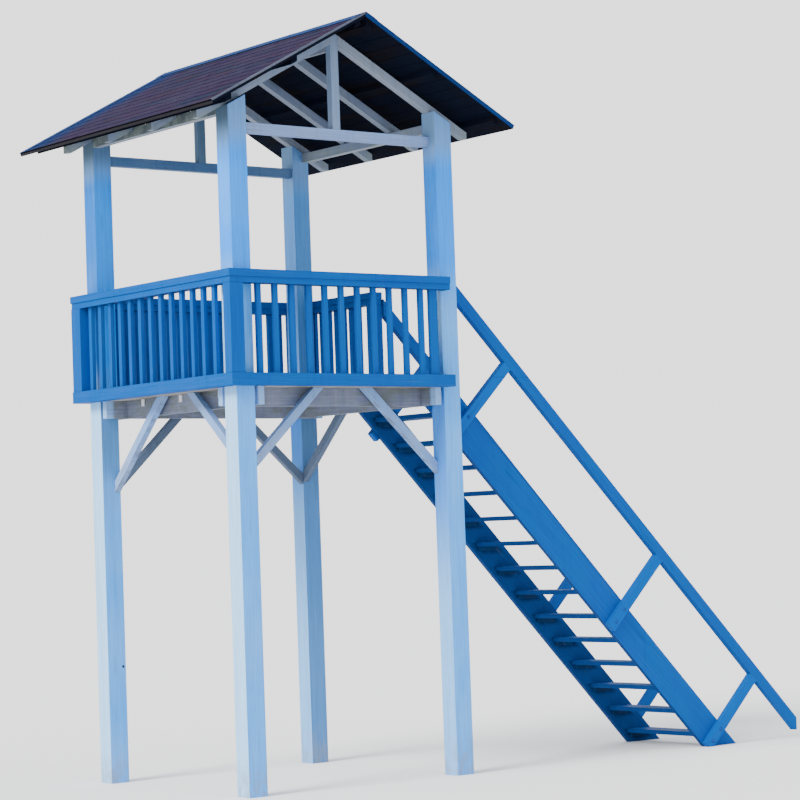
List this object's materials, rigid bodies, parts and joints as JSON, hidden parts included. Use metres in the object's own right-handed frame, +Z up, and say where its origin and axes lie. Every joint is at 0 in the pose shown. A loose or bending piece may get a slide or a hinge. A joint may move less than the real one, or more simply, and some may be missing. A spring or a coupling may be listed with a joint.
{
  "type": "lifeguard tower",
  "caption": "Open timber watch tower on tall posts, with a railed platform, a gable roof and a straight side stair with handrails.",
  "frame": {"origin": "centre of the square of the four posts, at ground level", "axes": "+Z up; -Y is the front gable; +X is the side with the stair"},
  "size_m": [6.7438, 3.09, 6.3803],
  "materials": {
    "white_paint": "weathered white paint on timber",
    "blue_paint": "satin blue paint on timber",
    "floor_wood": "weathered boards",
    "dark_deck": "dark stained boards",
    "shingle": "mineral-faced roofing"
  },
  "bodies": {
    "root": {"beam_back": "white_paint", "beam_front": "white_paint", "beam_left": "white_paint", "beam_packers": "white_paint", "beam_right": "white_paint", "floor_boards": "floor_wood", "floor_joists": "white_paint", "handrail_cap_back": "blue_paint", "handrail_cap_front": "blue_paint", "handrail_cap_left": "blue_paint", "handrail_cap_right": "blue_paint", "king_post_back": "white_paint", "king_post_front": "white_paint", "knee_brace_back_left": "white_paint", "knee_brace_back_right": "white_paint", "knee_brace_front_left": "white_paint", "knee_brace_front_right": "white_paint", "knee_brace_left_back": "white_paint", "knee_brace_left_front": "white_paint", "knee_brace_right_back": "white_paint", "post_back_left": "white_paint", "post_back_right": "white_paint", "post_front_left": "white_paint", "post_front_right": "white_paint", "rafters_back": "white_paint", "rafters_front": "white_paint", "rafters_middle": "white_paint", "railing_back": "blue_paint", "railing_front": "blue_paint", "railing_left": "blue_paint", "railing_post_back_left": "blue_paint", "railing_post_back_right": "blue_paint", "railing_post_front_left": "blue_paint", "railing_post_stair": "blue_paint", "railing_right": "blue_paint", "ridge_board": "white_paint", "ridge_cap": "shingle", "roof_covering_left": "shingle", "roof_covering_right": "shingle", "roof_deck_left": "dark_deck", "roof_deck_right": "dark_deck", "roof_purlins_left": "dark_deck", "roof_purlins_right": "dark_deck", "stair_cleats": "blue_paint", "stair_handrail_far": "blue_paint", "stair_handrail_near": "blue_paint", "stair_handrail_posts_far": "blue_paint", "stair_handrail_posts_near": "blue_paint", "stair_stringer_far": "blue_paint", "stair_stringer_near": "blue_paint", "stair_treads": "blue_paint", "tie_beam_back": "white_paint", "tie_beam_front": "white_paint", "wall_plate_left": "white_paint", "wall_plate_right": "white_paint"}
  },
  "joints": []
}
